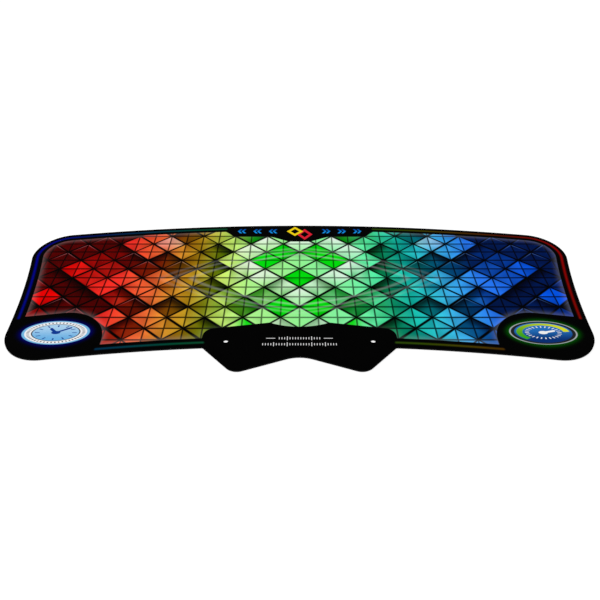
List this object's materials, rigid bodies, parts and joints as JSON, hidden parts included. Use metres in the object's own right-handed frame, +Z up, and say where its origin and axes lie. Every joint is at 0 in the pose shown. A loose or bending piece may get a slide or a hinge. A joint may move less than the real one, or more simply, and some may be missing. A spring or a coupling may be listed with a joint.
{
  "type": "timing mat",
  "caption": "Flat cushioned mat in one arched piece, with a front tab and two small peg holes for mounting a timer.",
  "frame": {"origin": "middle of the mat's bounding box, on the underside that lies on the table", "axes": "+X along the mat to the player's right, +Y away from the player towards the arched far edge, +Z up out of the printed face"},
  "size_m": [0.7052, 0.2834, 0.0025],
  "materials": {
    "grip_rubber": "embossed matt solid rubber",
    "sponge_rubber": "cut closed-cell sponge",
    "bond_film": "thin hot-melt film",
    "printed_knit": "fine smooth polyester knit, dye printed, mostly black border with a red to green to blue field"
  },
  "bodies": {
    "root": {"grip_sheet": "grip_rubber", "sponge_core": "sponge_rubber", "adhesive_film": "bond_film", "printed_cloth": "printed_knit"}
  },
  "joints": []
}
